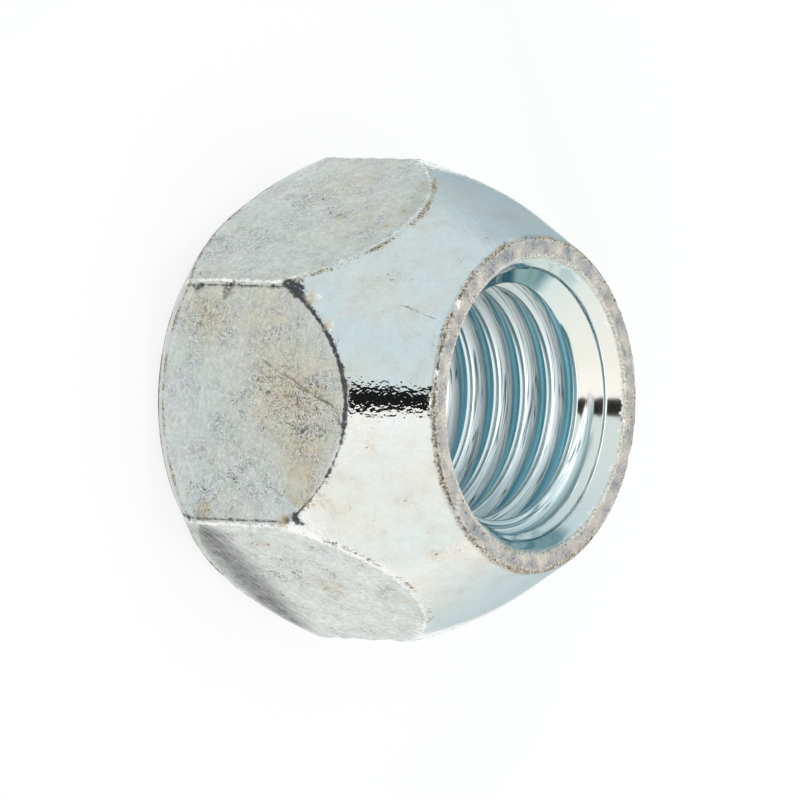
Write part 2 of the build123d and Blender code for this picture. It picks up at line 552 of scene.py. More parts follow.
# %% Push the outside in
wave_depth = 0.016
wave_size = 2.6
nick_depth = 0.11
nick_size = 0.55
nick_shift = Vector((7, 3, 5))
nick_level = 0.12
crumble_depth = 0.03
crumble_size = 0.22
round_the_net = np.roll(outside_points, -1, axis=0) - np.roll(outside_points, 1, axis=0)
up_the_net = np.gradient(outside_points, axis=1)
outward = np.cross(round_the_net, up_the_net)
outward /= np.linalg.norm(outward, axis=2, keepdims=True)
edges = np.maximum(corner_line, rows_weight({"ring_edge": 1.8, "ring": 0.8, "mouth_edge": 0.6}))
edges = np.maximum(edges, rows_weight({"back_edge": 0.7, "front_edge": 0.3}))
fixed_parts = ("back_sink", "back", "back_rim", "sink", "land")
moving = np.array([0.0 if name in fixed_parts else 1.0 for name in row_parts])
push = spots_weight(dents) * moving
for column, row in np.ndindex(push.shape):
    if moving[row]:
        spot = Vector(outside_points[column, row])
        wave = 0.5 + 0.5 * noise.noise(spot / wave_size)
        nick = nick_depth * max(0.0, noise.noise(spot / nick_size + nick_shift) - nick_level)
        crumble = crumble_depth * (0.5 + 0.5 * noise.noise(spot / crumble_size))
        push[column, row] += wave_depth * wave + edges[column, row] * (nick + crumble)
outside_points -= outward * push[:, :, None]
print(f"deepest push {push.max():.2f} mm")

# %% [markdown]
# One closed net.
# Outside and thread are sewn into one closed skin. After a full turn the helix has climbed one pitch, so
# the last column of the thread meets the first some rows higher. Two meshes could simply be laid edge to
# edge, but a single closed skin has no seam for the light to leak through.

# %% Points and weights of the whole nut
thread_turns = np.array([math.tau * place / thread_pitch for height, place in row_list])
inside_points = np.stack(
    [inside[:, :, 0] * np.cos(net_angles), inside[:, :, 0] * np.sin(net_angles), inside[:, :, 1]], axis=2
)
points = np.concatenate([outside_points, inside_points], axis=1)
front_sink = hole_radius + (inside[:, :, 1] - thread_top) * math.tan(half_sink)
sunk = np.maximum(front_sink, back_mouth_radius - inside[:, :, 1])
tapped_softness = 0.03
thread_weights = {
    "bore": np.ones(inside.shape[:2]),
    "crest": np.tile(np.cos(thread_turns), (len(angles), 1)),
    "lead": np.tile(np.sin(thread_turns), (len(angles), 1)),
    "tapped": np.clip((inside[:, :, 0] - sunk) / tapped_softness, 0, 1),
    "running_out": np.clip((inside[:, :, 1] - thread_top) / (land_bottom - thread_top), 0, 1),
}
point_weights = {}
for name in list(weights) + [name for name in thread_weights if name not in weights]:
    outer = weights.get(name, np.zeros(outside_points.shape[:2]))
    inner = thread_weights.get(name, np.zeros(inside.shape[:2]))
    point_weights[name] = np.concatenate([outer, inner], axis=1).reshape(-1)
outside_rows = len(row_parts)
aslant = points[:, :, 1] / np.hypot(points[:, :, 0], points[:, :, 1])
# Painted reflection: shares towards the bottom of the outer countersink and the top of the inner one, as the
# camera sees them.
outer_bottom_share = np.clip(aslant[:, :outside_rows], 0, 1)
inner_top_share = np.clip(-aslant[:, outside_rows:], 0, 1)
# Painted shade and painted reflection: strongest towards the top and bottom of the hole as the camera sees
# it, it darkens the thread's teal and tints the countersinks.
point_weights["shaded"] = aslant.reshape(-1) ** 4
# Painted shade: greys the thread's crests on the +Y side, which the camera sees at the bottom.
point_weights["lower"] = np.clip(aslant, 0, 1).reshape(-1) ** 2
# Painted reflection: where the countersinks get dark teal patches.
point_weights["deep"] = np.concatenate([outer_bottom_share, inner_top_share], axis=1).reshape(-1) ** 5
print(points.shape[0] * points.shape[1], "points with", len(point_weights), "weights")

# %% Faces, with doubled points merged
merge_distance = 1e-6
numbers = np.arange(points.shape[0] * points.shape[1]).reshape(points.shape[:2])
neighbours = np.roll(numbers, -1, axis=0)
higher = np.maximum(np.arange(inside.shape[1]) - len(row_places), 0) + outside_rows
neighbours[-1, outside_rows:] = numbers[0, higher]
quads = np.stack([numbers, neighbours, np.roll(neighbours, -1, axis=1), np.roll(numbers, -1, axis=1)], axis=2)
keys = np.round(points.reshape(-1, 3) / merge_distance).astype(np.int64)
first, merged = np.unique(keys, axis=0, return_index=True, return_inverse=True)[1:]
merged = merged.reshape(-1)
faces = []
for quad in merged[quads.reshape(-1, 4)]:
    face = [corner for place, corner in enumerate(quad) if corner != quad[place - 1]]
    if len(set(face)) == len(face) and len(face) > 2:
        faces.append([int(corner) for corner in face])
vertices = points.reshape(-1, 3)[first]
triangles = sum(len(face) - 2 for face in faces)
print(len(vertices), "points,", len(faces), "faces and", triangles, "triangles after merging")

# %% [markdown]
# The nut as one piece.
# A real nut is one forging, so it is one object. Its faces are shaded smooth, and a weighted normal
# modifier lets the larger faces lead, so that the flats stay flat beside their rounded edges. Marking
# sharp edges would do that too, but it would cut the soft corners.

# %% The nut as a Blender object
nut_mesh = bpy.data.meshes.new("lug_nut_plated")
nut_mesh.from_pydata(vertices * MM, [], faces)
nut_mesh.polygons.foreach_set("use_smooth", [True] * len(nut_mesh.polygons))
for name, values in point_weights.items():
    nut_mesh.attributes.new(name, "FLOAT", "POINT").data.foreach_set("value", values[first])
lug_nut = bpy.data.objects.new("lug_nut_plated", nut_mesh)
bpy.context.scene.collection.objects.link(lug_nut)
even_shading = lug_nut.modifiers.new("even_shading", "WEIGHTED_NORMAL")
even_shading.weight = 100
print("weights on the mesh:", ", ".join(point_weights))

# %% [markdown]
# Zinc plate.
# The nut is steel, electroplated with zinc and dipped in a clear blue passivate. Where it was handled it
# goes dull and beige, and on the turned cone it stays bright. In the thread, which sees only itself, the blue
# is painted a darker teal, as painted shade and painted reflection. A photograph wrapped round the nut would
# hold one light for ever, so the shader is a plain metal instead, whose colour, roughness and fine relief
# change with the wear, and whose colour also carries some painted light and shade.

# %% Tools for the material
# Electroplated zinc, passivated blue: the eye sees a soft silvery mirror with a cool cast.
plate = bpy.data.materials.new("zinc_plate_blue_passivated")
plate.use_nodes = True
tree = plate.node_tree
shader = tree.nodes["Principled BSDF"]
nut_mesh.materials.append(plate)


def paint(code):
    """Linear colour for a hex sRGB code."""
    parts = [int(code[place:place + 2], 16) / 255 for place in (1, 3, 5)]
    return tuple(v / 12.92 if v <= 0.04045 else ((v + 0.055) / 1.055) ** 2.4 for v in parts) + (1.0,)


def add(kind, inputs, **settings):
    """Add a node with its settings; each input gets a value or a link from another node's output."""
    node = tree.nodes.new(kind)
    for name, value in settings.items():
        setattr(node, name, value)
    for name, value in inputs.items():
        if isinstance(value, bpy.types.NodeSocket):
            tree.links.new(value, node.inputs[name])
        else:
            node.inputs[name].default_value = value
    return node.outputs


# A Mix node for colours takes its share at 0 and the colours at 6 and 7, and gives the mix at 2.
# A Mix node for numbers takes its share at 0 and the numbers at 2 and 3, and gives the mix at 0.
MIX = "ShaderNodeMix"
OVER = {"data_type": "RGBA"}
MATH = "ShaderNodeMath"
VECTOR = "ShaderNodeVectorMath"
NOISE = "ShaderNodeTexNoise"
RANGE = "ShaderNodeMapRange"
position = add("ShaderNodeTexCoord", {})["Object"]
in_mm = add(VECTOR, {0: position, "Scale": 1 / MM}, operation="SCALE")["Vector"]
worn = {name: add("ShaderNodeAttribute", {}, attribute_name=name)["Fac"] for name in point_weights}
print("material", plate.name, "reads", len(worn), "weights")

# %% [markdown]
# Patterns.
# Plating and dirt are uneven at several sizes at once: clouds as wide as a fingertip's touch, patches of a
# millimetre, an etched grain and grit. Each is a noise whose scale is one over its real size. Images could
# hold them too, but noise in millimetres has no seams and runs round every edge.

# %% Noise in millimetres
finger_cloud = 4.0
plating_patch = 1.0
etched_grain = 0.25
# Real grit is a few hundredths of a millimetre. It is drawn at a tenth, coarse enough to show.
grit_size = 0.11
ripple_size = 0.2
hair_size = 0.45
fine_hair_size = 0.2
hue_size = 0.9
cloud = add(NOISE, {"Vector": in_mm, "Scale": 1 / finger_cloud, "Detail": 3.0, "Roughness": 0.6})["Fac"]
patch = add(NOISE, {"Vector": in_mm, "Scale": 1 / plating_patch, "Detail": 4.0, "Roughness": 0.65})["Fac"]
ragged = add(NOISE, {"Vector": in_mm, "Scale": 1 / etched_grain, "Detail": 3.0, "Roughness": 0.75})["Fac"]
speck = add(NOISE, {"Vector": in_mm, "Scale": 1 / grit_size, "Detail": 2.0, "Roughness": 0.6})["Fac"]
ripple = add(NOISE, {"Vector": in_mm, "Scale": 1 / ripple_size, "Detail": 1.0})["Fac"]
hues = add(NOISE, {"Vector": in_mm, "Scale": 1 / hue_size, "Detail": 3.0, "Roughness": 0.6})["Color"]
curled = {"Vector": in_mm, "Scale": 1 / hair_size, "Detail": 2.0, "Roughness": 0.6, "Distortion": 1.2}
curl = add(NOISE, curled)["Fac"]
finely_curled = {"Vector": in_mm, "Scale": 1 / fine_hair_size, "Detail": 2.0, "Distortion": 0.8}
fine_curl = add(NOISE, finely_curled)["Fac"]
print("patterns from", grit_size, "to", finger_cloud, "mm")

# %% Fine brushed scuffs across the flats
# Such scuffs lie a few hundredths of a millimetre apart. They are drawn a tenth apart, to show.
brush_marks_per_mm = 10.0
brush_across = (0.4, 0.25, 1.0)
brush_length = (0.9, 0.9, 0.0)
tilted = add(VECTOR, {0: in_mm, 1: brush_across}, operation="DOT_PRODUCT")["Value"]
brush_rows = add(MATH, {0: tilted, 1: brush_marks_per_mm}, operation="MULTIPLY")["Value"]
flatwise = add(VECTOR, {0: in_mm, 1: brush_length}, operation="MULTIPLY")["Vector"]
upright = add("ShaderNodeCombineXYZ", {2: brush_rows})["Vector"]
brush_place = add(VECTOR, {0: flatwise, 1: upright}, operation="ADD")["Vector"]
brushed = add(NOISE, {"Vector": brush_place, "Scale": 1.0, "Detail": 3.0, "Roughness": 0.7})["Fac"]
print("brushed scuffs", 1 / brush_marks_per_mm, "mm apart")

# %% [markdown]
# The flats.
# The flats keep the skin of the forged bar under the plating, so they look dull and grey, with beige marks
# of handling, bluish patches and one dark scuff, and some sides, side 4 most, are painted lighter as painted
# light. Each of these is one colour laid over the last by a pattern or a weight. Several materials side by
# side would leave hard borders between them.


# %% Flats: dull grey zinc with beige handling marks
def dappled(below, pattern, from_level, to_level, darkest, lightest):
    """A colour made darker and lighter by a pattern, between two of its levels."""
    spread = {"From Min": from_level, "From Max": to_level, "To Min": darkest, "To Max": lightest}
    shade = add(RANGE, {"Value": pattern, **spread})["Result"]
    return add(MIX, {0: 1.0, 6: below, 7: shade}, data_type="RGBA", blend_type="MULTIPLY")[2]


soft_cloud = add(RANGE, {"Value": cloud, "From Min": 0.38, "From Max": 0.6})["Result"]
beige = add(MATH, {0: soft_cloud, 1: 0.4, 2: 0.7}, operation="MULTIPLY_ADD")["Value"]
beige = add(MATH, {0: beige, 1: worn["handled"]}, operation="MULTIPLY")["Value"]
flat_tone = add(MIX, {0: beige, 6: paint("#CDD4D1"), 7: paint("#CEC6B0")}, **OVER)[2]
blue_patch = add(RANGE, {"Value": patch, "From Min": 0.5, "From Max": 0.66, "To Max": 0.6})["Result"]
flat_tone = add(MIX, {0: blue_patch, 6: flat_tone, 7: paint("#CAD1D6")}, **OVER)[2]
# Painted light: some flats, side 4 most, are painted lighter.
fresh = add(MATH, {0: worn["fresh"], 1: 0.8}, operation="MULTIPLY")["Value"]
flat_tone = add(MIX, {0: fresh, 6: flat_tone, 7: paint("#E5E9E5")}, **OVER)[2]
flat_tone = dappled(flat_tone, brushed, 0.3, 0.7, 0.94, 1.05)
flat_tone = dappled(flat_tone, ragged, 0.3, 0.7, 0.78, 1.18)
dull = add(MATH, {0: brushed, 1: 1.2, 2: worn["dulled"]}, operation="MULTIPLY_ADD")["Value"]
dull = add(MATH, {0: ragged, 1: 0.9, 2: dull}, operation="MULTIPLY_ADD")["Value"]
dull = add(RANGE, {"Value": dull, "From Min": 1.35, "From Max": 2.25})["Result"]
flat_tone = add(MIX, {0: dull, 6: flat_tone, 7: paint("#4C4E50")}, **OVER)[2]
print(len(tree.nodes), "nodes so far, with the flats")

# %% [markdown]
# The cone and the ring.
# The cone was turned smooth before plating, so it is a clear mirror, faintly blue, with cream clouds. The
# ring in front of it takes every knock and is the dullest part, cream and lavender with crumbs of grit. A
# touch of rainbow lies over cone and flats, as a passivate film has. It could come from a thin film
# setting on the shader, but that would tint the mirror evenly, and the real film is patchy.

# %% Cone: bright zinc, faintly blue, with a few cream clouds
cone_tone = add(MIX, {0: soft_cloud, 6: paint("#F1F7F8"), 7: paint("#F8F6F1")}, **OVER)[2]
cream = add(RANGE, {"Value": patch, "From Min": 0.5, "From Max": 0.72, "To Max": 0.45})["Result"]
cone_tone = add(MIX, {0: cream, 6: cone_tone, 7: paint("#EDE4DC")}, **OVER)[2]
cone_tone = dappled(cone_tone, ragged, 0.3, 0.7, 0.93, 1.05)
film_share = 0.12
tone = add(MIX, {0: worn["scuffed"], 6: cone_tone, 7: flat_tone}, **OVER)[2]
tone = add(MIX, {0: film_share, 6: tone, 7: hues}, data_type="RGBA", blend_type="OVERLAY")[2]
print(len(tree.nodes), "nodes so far, with the cone")

# %% Ring: cream and lavender patches with crumbs and grains
ring_patch = add(RANGE, {"Value": patch, "From Min": 0.35, "From Max": 0.65})["Result"]
ring_tone = add(MIX, {0: ring_patch, 6: paint("#DED5C8"), 7: paint("#A3A6B1")}, **OVER)[2]
ring_tone = dappled(ring_tone, ragged, 0.3, 0.7, 0.76, 1.2)
ring_tone = dappled(ring_tone, speck, 0.35, 0.65, 0.84, 1.14)
tone = add(MIX, {0: worn["ring"], 6: tone, 7: ring_tone}, **OVER)[2]
print(len(tree.nodes), "nodes so far, with the ring")

# %% [markdown]
# Wear on the edges.
# An edge loses its plating in crumbs: first it takes a bright burnish, then it is rubbed down to brown, and
# a hard knock leaves a dark bruise. Some of the bright along corners and front edges is painted highlight,
# and some of the dark along the front edges is painted dark reflection. The weights say where, and noise
# eats ragged borders into them. Used alone, the weights would look airbrushed.


# %% Wear: bright edges, partly painted highlight, rubbed edges, dark edges, partly painted dark reflection, and stains
def edged(weight, reach, threshold, softness):
    """A weight with a ragged edge: patterns add to it, and what passes the threshold stays."""
    eaten = add(MATH, {0: weight, 1: reach, 2: ragged}, operation="MULTIPLY_ADD")["Value"]
    eaten = add(MATH, {0: patch, 1: 0.5, 2: eaten}, operation="MULTIPLY_ADD")["Value"]
    limits = {"Value": eaten, "From Min": threshold - softness, "From Max": threshold + softness}
    kept = add(RANGE, limits)["Result"]
    within_reach = add(RANGE, {"Value": weight, "From Min": 0.05, "From Max": 0.25})["Result"]
    return add(MATH, {0: kept, 1: within_reach}, operation="MULTIPLY")["Value"]


# The bright edges are partly painted highlight, and the dark edges partly painted dark reflection.
burnished = edged(worn["burnished"], 0.4, 1.02, 0.1)
rubbed = edged(worn["rubbed"], 0.36, 0.98, 0.1)
bruised = edged(worn["bruised"], 0.8, 1.22, 0.14)
stain = add(MATH, {0: edged(worn["stained"], 0.4, 0.96, 0.1), 1: 0.6}, operation="MULTIPLY")["Value"]
sandy = add(RANGE, {"Value": speck, "From Min": 0.36, "From Max": 0.6})["Result"]
brown = add(MIX, {0: sandy, 6: paint("#635644"), 7: paint("#D0C7B9")}, **OVER)[2]
# Near white for burnish and painted highlight, dark grey for bruises and painted dark reflection.
layers = [
    (burnished, paint("#FCFCFA")), (rubbed, brown), (bruised, paint("#4A4A4E")), (stain, paint("#C8B28E")),
]
for share, colour in layers:
    tone = add(MIX, {0: share, 6: tone, 7: colour}, **OVER)[2]
print(len(tree.nodes), "nodes so far, with the worn edges")

# %% [markdown]
# Squiggles, specks and scratches.
# Nuts that tumble together write on each other: hair-thin curls, pin-prick specks and a few long
# scratches. Curls are contour lines of a twisted noise: each dark curl is a mark and partly the painted
# shade of a raised curl, and the bright line beside it is a painted highlight. A scratch is whatever lies
# close to a line between two points. Thin meshes laid on top would do too, but they would stand proud of
# the surface.


# %% Squiggles and specks
def lines(pattern, level, width, strength):
    """Thin lines where a pattern passes a level, like the contour lines of a map."""
    off = add(MATH, {0: pattern, 1: level}, operation="SUBTRACT")["Value"]
    off = add(MATH, {0: off}, operation="ABSOLUTE")["Value"]
    return add(RANGE, {"Value": off, "From Max": width, "To Min": strength, "To Max": 0.0})["Result"]


where = add(MATH, {0: worn["scribbled"], 1: 0.3, 2: patch}, operation="MULTIPLY_ADD")["Value"]
where = add(RANGE, {"Value": where, "From Min": 0.45, "From Max": 0.75})["Result"]
on_flat = add(MATH, {0: worn["scuffed"], 1: worn["ring"]}, operation="MAXIMUM")["Value"]
on_flat = add(RANGE, {"Value": on_flat, "To Min": 0.3, "To Max": 1.0})["Result"]
where = add(MATH, {0: where, 1: on_flat}, operation="MULTIPLY")["Value"]
# Dark curls are marks and partly painted shade; the bright curls beside them are painted highlights.
squiggles = [
    (curl, 0.5, 0.025, 0.9, "#4E4B43"), (curl, 0.55, 0.02, 0.4, "#F4F4F0"),
    (fine_curl, 0.5, 0.05, 0.8, "#625F56"), (fine_curl, 0.6, 0.04, 0.4, "#F4F4F0"),
]
for pattern, level, width, strength, code in squiggles:
    squiggle = add(MATH, {0: lines(pattern, level, width, strength), 1: where}, operation="MULTIPLY")["Value"]
    tone = add(MIX, {0: squiggle, 6: tone, 7: paint(code)}, **OVER)[2]
crowd = ragged
for pattern, share in ((worn["scribbled"], 0.1), (patch, 0.4), (worn["scuffed"], 0.05), (worn["ring"], 0.09)):
    crowd = add(MATH, {0: pattern, 1: share, 2: crowd}, operation="MULTIPLY_ADD")["Value"]
specks = add(RANGE, {"Value": crowd, "From Min": 0.94, "From Max": 1.0, "To Max": 0.85})["Result"]
tone = add(MIX, {0: specks, 6: tone, 7: paint("#59554B")}, **OVER)[2]
print(len(squiggles), "kinds of squiggle, and specks")

# %% A few long scratches, with a gentle wobble
wobble_size = 0.8
wobble_reach = 0.35
wobble = add(NOISE, {"Vector": in_mm, "Scale": 1 / wobble_size, "Detail": 2.0})["Color"]
swayed = {0: wobble, 1: (wobble_reach,) * 3, 2: in_mm}
wobbled = add(VECTOR, swayed, operation="MULTIPLY_ADD")["Vector"]
# The wobble's noise is 0.5 on average, so it shifts every point by half its reach.
wobble_shift = Vector((wobble_reach,) * 3) / 2


def scratch(start, end, width):
    """A thin scratch between two points: what lies close enough to the line from one to the other."""
    run = end - start
    apart = add(VECTOR, {0: wobbled, 1: start}, operation="SUBTRACT")["Vector"]
    share = add(VECTOR, {0: apart, 1: run / run.length_squared}, operation="DOT_PRODUCT")["Value"]
    share = add("ShaderNodeClamp", {"Value": share})["Result"]
    nearest = add(VECTOR, {0: run, "Scale": share}, operation="SCALE")["Vector"]
    distance = add(VECTOR, {0: apart, 1: nearest}, operation="DISTANCE")["Value"]
    distance = add(MATH, {0: ragged, 1: 0.2, 2: distance}, operation="MULTIPLY_ADD")["Value"]
    faded = {"Value": distance, "From Min": 0.1, "From Max": 0.1 + width, "To Min": 0.8, "To Max": 0.0}
    return add(RANGE, faded)["Result"]


scratches = [
    (flat_spot(3, -5.35, 5.2), flat_spot(3, -4.65, 4.65), 0.16),
    (flat_spot(3, -5.35, 4.8), flat_spot(3, -4.9, 4.6), 0.12),
    (flat_spot(3, -1.94, 6.82), flat_spot(3, -0.04, 10.69), 0.1),
    (flat_spot(3, -1.3, 7.6), flat_spot(3, 0.1, 11.0), 0.06),
    (flat_spot(2, -0.9, 6.2), flat_spot(2, -0.3, 6.6), 0.08),
    (cone_spot(-31, 13.0), cone_spot(-30, 14.6), 0.06),
    (flat_spot(0, -2.5, 4.0), flat_spot(0, 1.8, 8.8), 0.09),
    (flat_spot(5, 2.0, 3.5), flat_spot(5, 3.6, 8.5), 0.08),
]
for start, end, width in scratches:
    scratched = scratch(start + wobble_shift, end + wobble_shift, width)
    tone = add(MIX, {0: scratched, 6: tone, 7: paint("#6E6A60")}, **OVER)[2]
print(len(scratches), "scratches")

# %% [markdown]
# The finish of the thread.
# A tap cuts smooth pale crests and tears the flanks a little, so the flanks carry streaks along the helix.
# Down in the groove the metal sees only other blue metal, so the groove is painted teal over the
# passivate's blue: painted shade and painted reflection. A ray tracer gives some of that by itself, but few
# bounces come back from so narrow a groove, so the painted colour helps it. The teal is painted darker
# towards the top and bottom of the hole as the camera sees it, and the crests greyer on the +Y side, both
# as painted shade.

# %% Tap marks along the helix
# The two thread weights are a circle round each turn, so noise over that circle runs along the helix.
# Real tap marks are hundredths of a millimetre apart, and these are drawn about a tenth apart, to show.
tap_mark_spacing = 0.0918
circle_radius = 2.0
circle_size = (circle_radius, circle_radius, 1.0)
marks_per_unit = thread_pitch / (math.tau * circle_radius * tap_mark_spacing)
drift_per_mm = (0.16, 0.16, 0.1)
groove_place = add("ShaderNodeCombineXYZ", {0: worn["crest"], 1: worn["lead"], 2: 0.0})["Vector"]
drift = add(VECTOR, {0: in_mm, 1: drift_per_mm}, operation="MULTIPLY")["Vector"]
along_helix = add(VECTOR, {0: groove_place, 1: circle_size, 2: drift}, operation="MULTIPLY_ADD")["Vector"]
tap_marks = {"Vector": along_helix, "Scale": marks_per_unit, "Detail": 1.0, "Roughness": 0.5}
tap_lines = add(NOISE, tap_marks)["Fac"]
flank = {"Value": worn["crest"], "From Min": 0.6, "From Max": 0.85, "To Min": 0.8, "To Max": 0.0}
flank = add(RANGE, flank)["Result"]
print(f"tap marks {tap_mark_spacing} mm apart, at a scale of {marks_per_unit:.2f}")

# %% Thread: smooth pale crests, torn flanks and painted teal shade in the groove
tap_pull = {"Value": tap_lines, "From Min": 0.25, "From Max": 0.75, "To Min": -0.45, "To Max": 0.45}
pale = add(MATH, {0: worn["crest"], 1: add(RANGE, tap_pull)["Result"]}, operation="ADD")["Value"]
pale = add(RANGE, {"Value": pale, "From Min": -0.55, "From Max": -0.25})["Result"]
# Painted shade: the groove's teal, painted darker towards the top and bottom of the hole as the camera sees
# it.
teal = add(MIX, {0: worn["shaded"], 6: paint("#A6E4F4"), 7: paint("#4594A8")}, **OVER)[2]
# Painted shade: the crests are painted greyer on the +Y side.
crest_tone = add(MIX, {0: worn["lower"], 6: paint("#F4FAFA"), 7: paint("#C9DDE1")}, **OVER)[2]
thread_tone = add(MIX, {0: pale, 6: teal, 7: crest_tone}, **OVER)[2]
torn = {"Value": tap_lines, "From Min": 0.38, "From Max": 0.44, "To Min": 0.4, "To Max": 0.0}
torn = add(MATH, {0: add(RANGE, torn)["Result"], 1: flank}, operation="MULTIPLY")["Value"]
thread_tone = add(MIX, {0: torn, 6: thread_tone, 7: paint("#4B7F8B")}, **OVER)[2]
thinning = {"Value": worn["running_out"], "From Min": 0.05, "From Max": 0.3, "To Max": 0.95}
thinning = add(RANGE, thinning)["Result"]
thread_tone = add(MIX, {0: thinning, 6: thread_tone, 7: paint("#BCCBCD")}, **OVER)[2]
streaked = add(MATH, {0: flank, 1: pale}, operation="MULTIPLY")["Value"]
# The dark hairlines are tap marks; the white ones beside them are painted highlights on the torn flanks.
for level, width, code in ((0.5, 0.035, "#1F5A6A"), (0.58, 0.05, "#FFFFFF"), (0.43, 0.05, "#FFFFFF")):
    hairline = add(MATH, {0: lines(tap_lines, level, width, 1.1), 1: streaked}, operation="MULTIPLY")["Value"]
    thread_tone = add(MIX, {0: hairline, 6: thread_tone, 7: paint(code)}, **OVER)[2]
print(len(tree.nodes), "nodes so far, with the thread")

# %% Countersinks, with painted reflections, and the whole colour
# Painted reflection: the countersinks are painted bluer towards the top and bottom of the hole as the camera
# sees it.
sink_tone = add(MIX, {0: worn["shaded"], 6: paint("#FCFAF5"), 7: paint("#D8E9EC")}, **OVER)[2]
# Painted reflection: dark teal patches in the countersinks, broken up by the cloud noise.
deep = add(MATH, {0: cloud, 1: 0.8, 2: worn["deep"]}, operation="MULTIPLY_ADD")["Value"]
deep = add(RANGE, {"Value": deep, "From Min": 0.95, "From Max": 1.25, "To Max": 0.75})["Result"]
sink_tone = add(MIX, {0: deep, 6: sink_tone, 7: paint("#558E99")}, **OVER)[2]
bore_tone = add(MIX, {0: worn["tapped"], 6: sink_tone, 7: thread_tone}, **OVER)[2]
tone = add(MIX, {0: worn["bore"], 6: tone, 7: bore_tone}, **OVER)[2]
tree.links.new(tone, shader.inputs["Base Color"])
print(len(tree.nodes), "nodes so far, with the whole colour")

# %% [markdown]
# Gloss and fine relief.
# Plated steel is a metal, so it keeps the default IOR and shows only in its reflections: sharp on the cone,
# blurred on the flats, and broken up by a faint ripple that a plating bath leaves. Dirt is not metal and
# has hardly any gloss, and the dark edges, which are partly painted dark reflection, are treated the same.
# Dents and edges are real geometry, and only this finest relief is a bump.

# %% Roughness and metal
cone_rough = 0.04
flat_rough = 0.42
ring_rough = 0.45
sink_rough = 0.1
crest_rough = 0.2
flank_rough = 0.62
dirt_rough = 0.6
dirt_gloss = 0.05
tap_rough = add(RANGE, {"Value": flank, "To Min": crest_rough, "To Max": flank_rough})["Result"]
# Rubbed and dark edges and stains are not metal; the dark edges are partly painted dark reflection.
dirt_and_dark_reflection = add(MATH, {0: rubbed, 1: bruised}, operation="MAXIMUM")["Value"]
dirt_and_dark_reflection = add(MATH, {0: dirt_and_dark_reflection, 1: stain}, operation="MAXIMUM")["Value"]
rough = add(RANGE, {"Value": worn["scuffed"], "To Min": cone_rough, "To Max": flat_rough})["Result"]
roughened = [
    (worn["ring"], ring_rough), (worn["bore"], sink_rough), (worn["tapped"], tap_rough), (dirt_and_dark_reflection, dirt_rough),
]
for share, value in roughened:
    rough = add(MIX, {0: share, 2: rough, 3: value}, data_type="FLOAT")[0]
tree.links.new(rough, shader.inputs["Roughness"])
metal = add(RANGE, {"Value": dirt_and_dark_reflection, "To Min": 1.0, "To Max": 0.0})["Result"]
tree.links.new(metal, shader.inputs["Metallic"])
shader.inputs["Specular IOR Level"].default_value = dirt_gloss
print(f"roughness from {cone_rough} on the cone to {flank_rough} on the flanks of the thread")

# %% Fine relief
relief_height = 0.007
ripple_share = 1.8
tap_share = 1.5
outer = add(MATH, {0: 1.0, 1: worn["bore"]}, operation="SUBTRACT")["Value"]
grit = add(RANGE, {"Value": worn["scuffed"], "To Min": 0.2, "To Max": 1.0})["Result"]
relief = add(MATH, {0: speck, 1: grit}, operation="MULTIPLY")["Value"]
relief = add(MATH, {0: ripple, 1: ripple_share, 2: relief}, operation="MULTIPLY_ADD")["Value"]
relief = add(MATH, {0: relief, 1: outer}, operation="MULTIPLY")["Value"]
tap_relief = add(MATH, {0: tap_lines, 1: worn["tapped"]}, operation="MULTIPLY")["Value"]
relief = add(MATH, {0: tap_relief, 1: tap_share, 2: relief}, operation="MULTIPLY_ADD")["Value"]
bump = add("ShaderNodeBump", {"Height": relief, "Strength": 1.0, "Distance": relief_height * MM})["Normal"]
tree.links.new(bump, shader.inputs["Normal"])
print(len(tree.nodes), "nodes in the material")

# %% [markdown]
# The floor.
# The nut stands on white paper. Bright metal shows its surroundings, so the paper must be white in
# reflections as well as to the camera. A share of its own shading stays, so that the shadow does. A lit
# plane alone would be white too, but the nut would seem to float.

# %% White paper floor
floor_half = 3.0
white_share = 0.86
bpy.ops.mesh.primitive_plane_add(size=2 * floor_half, location=(0, 0, 0))
floor = bpy.context.object
floor.name = "studio_floor"
# Uncoated white paper: the eye sees an even matt white with a soft shadow.
paper = bpy.data.materials.new("white_paper")
paper.use_nodes = True
tree = paper.node_tree
tree.nodes.remove(tree.nodes["Principled BSDF"])
rays = add("ShaderNodeLightPath", {})
seen = add(MATH, {0: rays["Is Camera Ray"], 1: rays["Is Glossy Ray"]}, operation="MAXIMUM")["Value"]
seen = add(MATH, {0: seen, 1: rays["Is Transmission Ray"]}, operation="MAXIMUM")["Value"]
seen = add(MATH, {0: seen, 1: white_share}, operation="MULTIPLY")["Value"]
matt = add("ShaderNodeBsdfDiffuse", {"Color": paint("#F4F4F4")})["BSDF"]
glow = add("ShaderNodeEmission", {"Color": paint("#FFFFFF"), "Strength": 1.0})["Emission"]
mixed = add("ShaderNodeMixShader", {0: seen, 1: matt, 2: glow})["Shader"]
tree.links.new(mixed, tree.nodes["Material Output"].inputs["Surface"])
floor.data.materials.append(paper)
print("floor", 2 * floor_half, "m wide")

# %% [markdown]
# The light tent.
# Small lamps make hard glints on bright metal, so most of the light is the world itself, as in a white
# tent: cool on one side of the nut, bright and warm on the other. A sky image would do, but six colours
# from one side to the other are easier to match.

